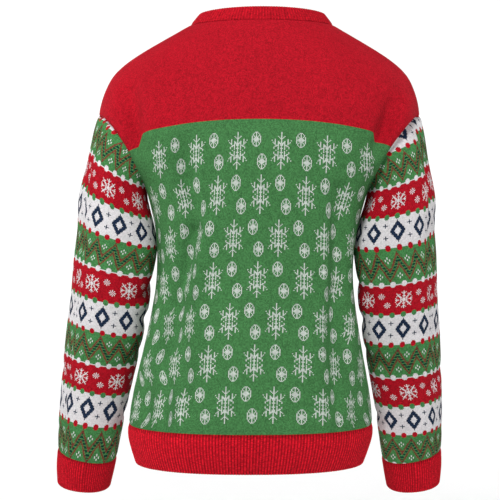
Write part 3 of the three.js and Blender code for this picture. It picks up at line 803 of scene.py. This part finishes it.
class Edge:
    """Places of a sheet along a seam, and where the sheet's own cloth lies from there."""

    def __init__(self, sheet, i, j, di, dj):
        self.sheet = sheet
        self.i, self.j = np.broadcast_arrays(i, j)
        self.di, self.dj = di, dj

    def into_cloth(self):
        p = self.sheet.points
        here = p[self.i, self.j]
        along = unit(np.gradient(here, axis=0))
        cloth = p[self.i + self.di, self.j + self.dj] - here
        return unit(cloth - along * np.sum(cloth * along, -1, keepdims=True))


def share_normals(a, b, folding):
    """Gives both sheets one normal at each point of a seam.

    With folding it also points away from both cloths, as it has to where they fold back on each other."""
    normal = a.sheet.inward[a.i, a.j] + b.sheet.inward[b.i, b.j]
    if folding:
        normal = normal - a.into_cloth() - b.into_cloth()
    normal = unit(normal)
    a.sheet.inward[a.i, a.j] = normal
    b.sheet.inward[b.i, b.j] = normal


def dip_at(sheet, far, dip=SEAM_DIP):
    """Draws the cloth in along a seam, by its distance from it."""
    sheet.lift = sheet.lift - dip * np.exp(-((far / SEAM_WIDE) ** 2))


def wall(name, sheet, thickness, rolled=False):
    """The closed shell of a sheet: its outer points, and inner points a wall's thickness away."""
    tall, wide = sheet.points.shape[:2]
    outer_in = -sheet.lift
    inner_in = np.full((tall, wide), float(thickness))
    if rolled:
        from_end = sheet.knit[-1, 0, 1] - sheet.knit[:, :1, 1]
        t = 1 - np.clip(from_end / EDGE_ROLL, 0, 1)
        tuck = thickness / 2 * (1 - np.sqrt(1 - (t * EDGE_ROLL_SHARE) ** 2))
        outer_in = outer_in + tuck
        inner_in = inner_in - tuck
    outer = sheet.points + sheet.inward * outer_in[..., None]
    inner = sheet.points + sheet.inward * inner_in[..., None]
    points = np.concatenate([outer.reshape(-1, 3), inner.reshape(-1, 3)])
    points[:, 0] -= SWAY * points[:, 2]
    index = np.arange(tall * wide).reshape(tall, wide)
    uv = sheet.knit
    if sheet.closed:
        index = np.concatenate([index, index[:, :1]], 1)
        step = np.linalg.norm(sheet.points[:, -1] - sheet.points[:, 0], axis=-1)
        step = step * np.sign(sheet.knit[:, -1, 0] - sheet.knit[:, 0, 0])
        last = sheet.knit[:, -1:] + np.stack([step, np.zeros(tall)], -1)[:, None]
        uv = np.concatenate([sheet.knit, last], 1)
    cells = np.arange(index.size).reshape(index.shape)
    a, b, c, d = cells[:-1, :-1], cells[1:, :-1], cells[1:, 1:], cells[:-1, 1:]
    quads = np.stack([a, b, c, d], -1).reshape(-1, 4)
    index, uv = index.ravel(), uv.reshape(-1, 2)
    count = tall * wide
    faces = [index[quads], index[quads[:, ::-1]] + count]
    coords = [uv[quads], uv[quads[:, ::-1]]]
    rims = [(cells[0, 1:], cells[0, :-1]), (cells[-1, :-1], cells[-1, 1:])]
    if not sheet.closed:
        rims += [(cells[:-1, 0], cells[1:, 0]), (cells[1:, -1], cells[:-1, -1])]
    for p, q in rims:
        faces.append(np.stack([index[q], index[p], index[p] + count, index[q] + count], -1)[:, ::-1])
        coords.append(np.stack([uv[q], uv[p], uv[p], uv[q]], 1)[:, ::-1])
    faces, coords = np.concatenate(faces), np.concatenate(coords)
    # The faces have to look outwards, which makes the volume that they enclose positive.
    v = points[faces]
    volume = np.einsum("ij,ij->", v[:, 0], np.cross(v[:, 1], v[:, 2]) + np.cross(v[:, 2], v[:, 3]))
    if volume < 0:
        faces, coords = faces[:, ::-1], coords[:, ::-1]
    return cloth_object(name, points * MM, faces, coords, count)


def cloth_object(name, points, faces, coords, outer_count):
    """A mesh object with its knit as a UV map and its inner points marked."""
    mesh = bpy.data.meshes.new(name)
    mesh.from_pydata(points.tolist(), [], faces.tolist())
    mesh.update()
    layer = mesh.uv_layers.new(name="knit")
    layer.uv.foreach_set("vector", coords.astype(np.float32).ravel())
    inside = mesh.attributes.new("inside", "FLOAT", "POINT")
    inside.data.foreach_set("value", (np.arange(len(points)) >= outer_count).astype(np.float32))
    mesh.shade_smooth()
    piece = bpy.data.objects.new(name, mesh)
    bpy.context.scene.collection.objects.link(piece)
    return piece


back = panel_sheet("back", BACK_FOLDS, BACK_TUCKS)
front = panel_sheet("front", FRONT_FOLDS, FRONT_TUCKS)
sleeves = {"left": sleeve_sheet(1), "right": sleeve_sheet(-1)}
cuffs = {"left": cuff_sheet(1), "right": cuff_sheet(-1)}
hems = {"back": hem_sheet("back"), "front": hem_sheet("front")}
neck = neck_sheet(back, front)


def side_edge(sheet, side, first, last):
    """A stretch of a sheet's right or left edge."""
    rows = np.arange(first, last + 1)
    if side == "right":
        return Edge(sheet, rows, 0, 0, 1)
    return Edge(sheet, rows, sheet.points.shape[1] - 1, 0, -1)


def ring_edge(sleeve, turns):
    """A stretch of a sleeve's first ring. turns are counted from the armhole's top."""
    return Edge(sleeve, 0, (turns - sleeve.start) % sleeve.points.shape[1], 1, 0)


def sew_all():
    """Shares normals along the seams of the panels, the sleeves and the hem."""
    shoulder_end = SHOULDER_STEPS * FINER
    armhole_end = shoulder_end + ARMHOLE_STEPS * FINER
    end = back.points.shape[0] - 1
    around = ARMHOLE_STEPS * 2 * FINER
    half = around // 2
    last = hems["back"].points.shape[0] - 1
    seams = []
    for side in ("right", "left"):
        seams.append((side_edge(back, side, 0, shoulder_end), side_edge(front, side, 0, shoulder_end)))
        back_ring = ring_edge(sleeves[side], np.arange(half + 1))
        front_ring = ring_edge(sleeves[side], np.arange(around, half - 1, -1))
        seams.append((side_edge(back, side, shoulder_end, armhole_end), back_ring))
        seams.append((side_edge(front, side, shoulder_end, armhole_end), front_ring))
        seams.append((side_edge(back, side, armhole_end, end), side_edge(front, side, armhole_end, end)))
        seams.append((side_edge(hems["back"], side, 0, last), side_edge(hems["front"], side, 0, last)))
    for k in range(SHARING_ROUNDS):
        for a, b in seams:
            share_normals(a, b, k == 0)


def dip_seams():
    """Draws the cloth in along all the seams."""
    for panel in (back, front):
        far = lengths(panel.points, 1)
        dip_at(panel, np.minimum(far, far[:, -1:] - far))
    for sheet in (back, front, *sleeves.values()):
        down = lengths(sheet.points)
        dip_at(sheet, down)
        dip_at(sheet, down[-1:] - down)
    for sleeve in sleeves.values():
        far = lengths(sleeve.points, 1)
        dip_at(sleeve, np.minimum(far, far[:, -1:] - far), SLEEVE_SEAM_DIP)
    for band in (*hems.values(), *cuffs.values(), neck):
        dip_at(band, lengths(band.points))


sew_all()
dip_seams()


class Field:
    """A number that varies over the cloth, with the arithmetic of a shader's math nodes."""

    def __init__(self, tree, socket):
        self.tree = tree
        self.socket = socket

    def math(self, operation, *others):
        node = self.tree.nodes.new("ShaderNodeMath")
        node.operation = operation
        for k, value in enumerate((self, *others)):
            if isinstance(value, Field):
                self.tree.links.new(value.socket, node.inputs[k])
            else:
                node.inputs[k].default_value = value
        return Field(self.tree, node.outputs[0])

    def __add__(self, other):
        return self.math("ADD", other)

    def __sub__(self, other):
        return self.math("SUBTRACT", other)

    def __mul__(self, other):
        return self.math("MULTIPLY", other)

    def __truediv__(self, other):
        return self.math("DIVIDE", other)

    def __abs__(self):
        return self.math("ABSOLUTE")

    def floor(self):
        return self.math("FLOOR")

    def mod(self, other):
        return self.math("FLOORED_MODULO", other)

    def sin(self):
        return self.math("SINE")

    def under(self, other):
        return self.math("LESS_THAN", other)

    def over(self, other):
        return self.math("GREATER_THAN", other)

    def most(self, other):
        return self.math("MAXIMUM", other)

    def power(self, other):
        return self.math("POWER", other)

    def doubled(self):
        """2 to the power of this number."""
        node = self.tree.nodes.new("ShaderNodeMath")
        node.operation = "POWER"
        node.inputs[0].default_value = 2
        self.tree.links.new(self.socket, node.inputs[1])
        return Field(self.tree, node.outputs[0])


def chart(across, up, drawing):
    """1 where a charted figure has a stitch. across and up are whole stitches from its middle."""
    rows = drawing.split()
    wide, tall = len(rows[0]), len(rows)
    tree = across.tree
    ramp = tree.nodes.new("ShaderNodeValToRGB")
    ramp.color_ramp.interpolation = "CONSTANT"
    stops = ramp.color_ramp.elements
    for k, row in enumerate(rows):
        bits = sum(2.0 ** -(n + 1) for n, mark in enumerate(row) if mark == "#")
        stop = stops[0] if k == 0 else stops.new(k / tall)
        stop.position = k / tall
        stop.color = (bits, bits, bits, 1)
    stops.remove(stops[-1])
    tree.links.new(((abs(up) + 0.5) / tall).socket, ramp.inputs[0])
    code = tree.nodes.new("ShaderNodeSeparateColor")
    tree.links.new(ramp.outputs[0], code.inputs[0])
    packed = Field(tree, code.outputs[0])
    bit = (packed * (abs(across) + 1).doubled()).floor().mod(2)
    return bit * abs(across).under(wide - 0.5) * abs(up).under(tall - 0.5)


def paint(tree, mask, over, under):
    """over where the mask is 1, and under elsewhere. Each is a colour or a colour socket."""
    node = tree.nodes.new("ShaderNodeMix")
    node.data_type = "RGBA"
    tree.links.new(mask.socket, node.inputs["Factor"])
    for key, value in ((MIX_A, under), (MIX_B, over)):
        if isinstance(value, tuple):
            node.inputs[key].default_value = value
        else:
            tree.links.new(value, node.inputs[key])
    return node.outputs[MIX_RESULT]


def knit_fields(tree, stitch, row):
    """Places in the knit: stitch and row numbers, and the height of the yarn's V shapes."""
    uv = tree.nodes.new("ShaderNodeUVMap")
    uv.uv_map = "knit"
    split = tree.nodes.new("ShaderNodeSeparateXYZ")
    tree.links.new(uv.outputs[0], split.inputs[0])
    u = Field(tree, split.outputs[0]) / stitch
    v = Field(tree, split.outputs[1]) / row
    column = u.floor()
    aside = abs(u - column - 0.5)
    raised = v + aside * LEG_SLANT
    line = raised.floor()
    leg = (aside * (2 * math.pi)).sin()
    loop = ((raised - line) * math.pi).sin().power(LOOP_POWER)
    return column, line, leg * (loop * LOOP_SHARE + (1 - LOOP_SHARE))


def speckle(tree, column, line, seed):
    """A random number for each stitch."""
    joined = tree.nodes.new("ShaderNodeCombineXYZ")
    tree.links.new(column.socket, joined.inputs[0])
    tree.links.new(line.socket, joined.inputs[1])
    joined.inputs[2].default_value = seed
    node = tree.nodes.new("ShaderNodeTexWhiteNoise")
    tree.links.new(joined.outputs[0], node.inputs["Vector"])
    return Field(tree, node.outputs["Value"])


def cloudy(tree, scale, detail):
    """A soft random number over the cloth."""
    place = tree.nodes.new("ShaderNodeTexCoord")
    node = tree.nodes.new("ShaderNodeTexNoise")
    node.inputs["Scale"].default_value = scale
    node.inputs["Detail"].default_value = detail
    tree.links.new(place.outputs["Object"], node.inputs["Vector"])
    return Field(tree, node.outputs["Fac"])


def yarn(name, stitch, row, pattern, plain_rows):
    """A knitted cloth. pattern gives its colour from the tree, the stitch and the row.

    Below its plain rows, floats of white yarn show on the inside."""
    material = bpy.data.materials.new(name)
    material.use_nodes = True
    tree = material.node_tree
    shader = tree.nodes["Principled BSDF"]
    column, line, height = knit_fields(tree, stitch, row)
    colour = pattern(tree, column, line)
    attribute = tree.nodes.new("ShaderNodeAttribute")
    attribute.attribute_name = "inside"
    inside = Field(tree, attribute.outputs["Fac"]).over(0.5)
    strand = speckle(tree, line, (column / FLOAT_STITCHES).floor(), 4.0).over(FLOAT_GAPS)
    colour = paint(tree, inside * (strand * line.over(plain_rows)) * FLOAT_SHOWS, WHITE, colour)
    # Stitches differ a little, and dark yarns more than white ones.
    parts = tree.nodes.new("ShaderNodeSeparateColor")
    tree.links.new(colour, parts.inputs[0])
    pale = Field(tree, parts.outputs[2])
    uneven = (pale * -UNEVEN_LESS + UNEVEN) * (speckle(tree, column, line, 1.0) - 0.5)
    fluff = cloudy(tree, FLUFF_SCALE, 2) * FLUFF_SHADE
    # The colour is painted darker where the yarn lies low in each stitch, as shade, and also varies at
    # random with fluff and cloudy patches.
    depth = height * STITCH_SHADE + uneven + fluff + cloudy(tree, CLOUD_SCALE, 3) * CLOUD_SHADE + BASE_SHADE
    shade = tree.nodes.new("ShaderNodeMix")
    shade.data_type = "RGBA"
    shade.blend_type = "MULTIPLY"
    shade.inputs["Factor"].default_value = 1.0
    tree.links.new(colour, shade.inputs[MIX_A])
    tree.links.new(depth.socket, shade.inputs[MIX_B])
    tree.links.new(shade.outputs[MIX_RESULT], shader.inputs["Base Color"])
    lump = tree.nodes.new("ShaderNodeBump")
    lump.inputs["Distance"].default_value = YARN_BUMP
    lump.inputs["Strength"].default_value = BUMP_STRENGTH
    fibres = cloudy(tree, FIBRE_SCALE, 2) * FIBRE_HEIGHT
    tree.links.new((height + fibres).socket, lump.inputs["Height"])
    tree.links.new(lump.outputs[0], shader.inputs["Normal"])
    shader.inputs["Roughness"].default_value = YARN_ROUGHNESS
    shader.inputs["Specular IOR Level"].default_value = YARN_SPECULAR
    return material


def centred(place, repeat):
    """A place in a repeat, counted from the repeat's middle."""
    half = repeat // 2
    return (place + half).mod(repeat) - half


def body_pattern(tree, column, line):
    """Snowflakes and small ovals in a half-dropped repeat, under the plain yoke."""
    half = BODY_REPEAT // 2
    down = line - round(FLAKES_AT / ROW)
    odd = ((down + half) / BODY_REPEAT).floor().mod(2)
    x = centred(column + odd * ODD_ROW_OFFSET + FLAKE_OFFSET, BODY_REPEAT)
    y = centred(down, BODY_REPEAT)
    white = chart(x, y, BODY_FLAKE)
    white = white.most(chart(centred(x + SMALL_ACROSS, BODY_REPEAT), y + SMALL_UP, BODY_SMALL))
    white = white.most(chart(centred(x - SMALL_ACROSS, BODY_REPEAT), y - SMALL_UP, BODY_SMALL))
    white = white * down.over(-half) * down.under(FLAKE_ROWS * BODY_REPEAT - half)
    # The first row leaves out its outermost figures, in the creases beside the armholes.
    white = white * abs(column + 1).under(OUTERMOST).most(down.over(half))
    cloth = paint(tree, white, FLAKE_WHITE, GREEN)
    return paint(tree, line.under(YOKE_ROWS), RED, cloth)


def dot(x, y, radius):
    return (x * x + y * y).under(radius * radius)


def four_dots(x, y):
    """A cluster of four dots. Its middle is half a row down, so that it is even."""
    beside = dot(abs(x) - DOT_APART, y - 0.5, DOT_RADIUS)
    return beside.most(dot(x, abs(y - 0.5) - DOT_APART, DOT_RADIUS))


def red_band(tree, column, y):
    """Snowflakes, and pairs of small ones between them."""
    pair_x = centred(column + FLAKE_PITCH // 2, FLAKE_PITCH)
    rise = y - RED_MIDDLE
    white = chart(centred(column, FLAKE_PITCH), rise, SLEEVE_FLAKE)
    white = white.most(chart(pair_x + SMALL_FLAKE_ACROSS, rise + SMALL_FLAKE_UP, SLEEVE_SMALL))
    white = white.most(chart(pair_x - SMALL_FLAKE_ACROSS, rise - SMALL_FLAKE_UP, SLEEVE_SMALL))
    return paint(tree, white, WHITE, RED)


def white_band(tree, column, y):
    """Open lozenges, and small crosses between them."""
    rise = abs(y - WHITE_MIDDLE)
    out = abs(centred(column, LOZENGE_PITCH)) / LOZENGE_WIDE + rise / LOZENGE_HIGH
    cross_x = centred(column + LOZENGE_PITCH // 2, LOZENGE_PITCH)
    navy = out.under(1.0) * out.over(LOZENGE_HOLE)
    navy = navy.most(chart(cross_x, rise - CROSS_UP, SMALL_CROSS))
    return paint(tree, navy, NAVY, WHITE)


def green_band(tree, column, line, y):
    """A dashed zigzag with a rust stripe on each side, and clusters of dots."""
    rise = y - GREEN_MIDDLE
    wave = abs(((column - ZIGZAG_OFFSET) / ZIGZAG_PITCH).mod(1) - 0.5) * 2
    away = abs(rise - (wave - 0.5) * ZIGZAG_HIGH)
    rust = away.over(RUST_FROM) * away.under(RUST_TO)
    dashes = away.under(DASHES_WIDE) * line.mod(3).over(0.5)
    low = four_dots(centred(column + LOW_DOTS_OFFSET, ZIGZAG_PITCH), rise - DOTS_UP)
    high = four_dots(centred(column + HIGH_DOTS_OFFSET, ZIGZAG_PITCH), rise + DOTS_UP)
    colour = paint(tree, rust, RUST, SLEEVE_GREEN)
    colour = paint(tree, dashes, DARK_GREEN, colour)
    return paint(tree, low.most(high), WHITE, colour)


def sleeve_pattern(tree, column, line):
    """Red, white and green bands, with a row of beads on each of their edges."""
    y = line.mod(SLEEVE_REPEAT)
    colour = paint(tree, y.over(RED_ENDS), white_band(tree, column, y), red_band(tree, column, y))
    colour = paint(tree, y.over(WHITE_ENDS), green_band(tree, column, line, y), colour)
    bead_x = centred(column, BEAD_PITCH)
    colour = paint(tree, dot(bead_x, y - (RED_ENDS + 0.5), BEAD_RADIUS), SLEEVE_GREEN, colour)
    colour = paint(tree, dot(bead_x, y - (WHITE_ENDS + 0.5), BEAD_RADIUS), RED, colour)
    end = centred(y, SLEEVE_REPEAT)
    pale = dot(bead_x, end + 0.5, BEAD_RADIUS).most(abs(end).under(WHITE_LINE))
    return paint(tree, pale, WHITE, colour)


def ribs(colour):
    """The pattern of a rib band: ribs of a colour, and hollows painted in a darker red, as shade."""

    def pattern(tree, column, line):
        # Every other column is a hollow, painted darker as shade.
        return paint(tree, column.mod(2), colour, SHADED_HOLLOW_RED)

    return pattern


body_knit = yarn("body_knit", STITCH, ROW, body_pattern, YOKE_ROWS)
sleeve_knit = yarn("sleeve_knit", SLEEVE_STITCH, SLEEVE_ROW, sleeve_pattern, FIRST_ROW)
# The rib bands' red is painted lighter on the ribs and darker in the hollows, as light and shade.
rib_knit = yarn("rib_knit", RIB_PITCH / 2, ROW, ribs(LIT_RIB_RED), PLAIN_ROWS)
# The neck band's red is painted darker, as shade against the key light that it catches.
shaded_neck_rib_knit = yarn("shaded_neck_rib_knit", RIB_PITCH / 2, ROW, ribs(SHADED_NECK_RED), PLAIN_ROWS)


def place(piece, node, slot, material, flat, area):
    """Puts a piece in the place of its solid, with its material. The size it is cut to, flat and area, is
    not used.
    """
    piece.data.materials.append(material)
    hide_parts(node)
    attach(piece, "root")


place(wall("back_knit", back, KNIT_WALL), "back", "body_knit", body_knit, (0.62, 0.70), 0.32)
place(wall("front_knit", front, KNIT_WALL), "front", "body_knit", body_knit, (0.62, 0.70), 0.31)
for side in ("left", "right"):
    sleeve = wall("sleeve_knit_" + side, sleeves[side], KNIT_WALL)
    place(sleeve, "sleeve_" + side, "sleeve_knit", sleeve_knit, (0.40, 0.56), 0.18)
    cuff = wall("cuff_knit_" + side, cuffs[side], RIB_WALL, rolled=True)
    place(cuff, "cuff_" + side, "rib_knit", rib_knit, (0.30, 0.056), 0.0168)
for panel in ("back", "front"):
    hem = wall("hem_knit_" + panel, hems[panel], RIB_WALL, rolled=True)
    place(hem, "hem_rib_" + panel, "rib_knit", rib_knit, (0.56, 0.064), 0.0358)
neck_band = wall("neck_knit", neck, RIB_WALL, rolled=True)
place(neck_band, "neck_rib", "rib_knit", shaded_neck_rib_knit, (0.60, 0.026), 0.0156)


def plain(name, colour, roughness):
    material = bpy.data.materials.new(name)
    material.use_nodes = True
    shader = material.node_tree.nodes["Principled BSDF"]
    shader.inputs["Base Color"].default_value = colour
    shader.inputs["Roughness"].default_value = roughness
    return material


def studio():
    """A pale floor that rises into a backdrop."""
    wide, near, far, floor, top, bend, steps = 9.0, 6.0, -3.2, -1.6, 4.0, 1.2, 12
    profile = [(near, floor), (far + bend, floor)]
    for k in range(1, steps):
        turn = k / steps * math.pi / 2
        profile.append((far + bend - bend * math.sin(turn), floor + bend - bend * math.cos(turn)))
    profile += [(far, floor + bend), (far, top)]
    points = [(x, y, z) for y, z in profile for x in (-wide, wide)]
    faces = [(2 * k, 2 * k + 1, 2 * k + 3, 2 * k + 2) for k in range(len(profile) - 1)]
    mesh = bpy.data.meshes.new("backdrop")
    mesh.from_pydata(points, [], faces)
    mesh.shade_smooth()
    mesh.materials.append(plain("paper", (0.9, 0.9, 0.9, 1), 0.9))
    backdrop = bpy.data.objects.new("backdrop", mesh)
    bpy.context.scene.collection.objects.link(backdrop)


def light(name, place, size, power, target):
    """A square soft light that faces its target."""
    data = bpy.data.lights.new(name, "AREA")
    data.size = size
    data.energy = power
    lamp = bpy.data.objects.new(name, data)
    lamp.location = place
    x, y, z = np.array(target) - np.array(place)
    lamp.rotation_euler = (math.atan2(math.hypot(x, y), -z), 0, math.atan2(x, -y) + math.pi)
    bpy.context.scene.collection.objects.link(lamp)


def room(strength):
    """An even white light from all round."""
    world = bpy.data.worlds.new("room")
    world.use_nodes = True
    background = world.node_tree.nodes["Background"]
    background.inputs["Color"].default_value = (1, 1, 1, 1)
    background.inputs["Strength"].default_value = strength
    bpy.context.scene.world = world


SWEATER_MIDDLE = (0.02, 0, -0.36)
studio()
light("key", (0.8, 2.2, 1.4), 0.6, 80, SWEATER_MIDDLE)
light("fill", (-0.2, 2.8, 0.4), 1.2, 14, SWEATER_MIDDLE)
# These two light the backdrop on each side of the sweater.
for name, side in (("paper_left", 1), ("paper_right", -1)):
    light(name, (3.2 * side, 0.2, 1.0), 2.0, 85, (side, -3.2, -0.4))
room(0.2)
bpy.context.scene.view_settings.view_transform = "Standard"

# The photograph's view: level with the middle of the sweater, from behind.
VIEW_DISTANCE = 1.6
VIEW_SIDE = 0.019
VIEW_HEIGHT = -0.359
FOCAL_SHARE = 990 / 500  # focal length over the picture's width
SENSOR = 36
camera_data = bpy.data.cameras.new("camera")
camera_data.sensor_width = SENSOR
camera_data.lens = SENSOR * FOCAL_SHARE
camera = bpy.data.objects.new("camera", camera_data)
camera.location = (VIEW_SIDE, VIEW_DISTANCE, VIEW_HEIGHT)
camera.rotation_euler = (math.pi / 2, 0, math.pi)
bpy.context.scene.collection.objects.link(camera)
bpy.context.scene.camera = camera
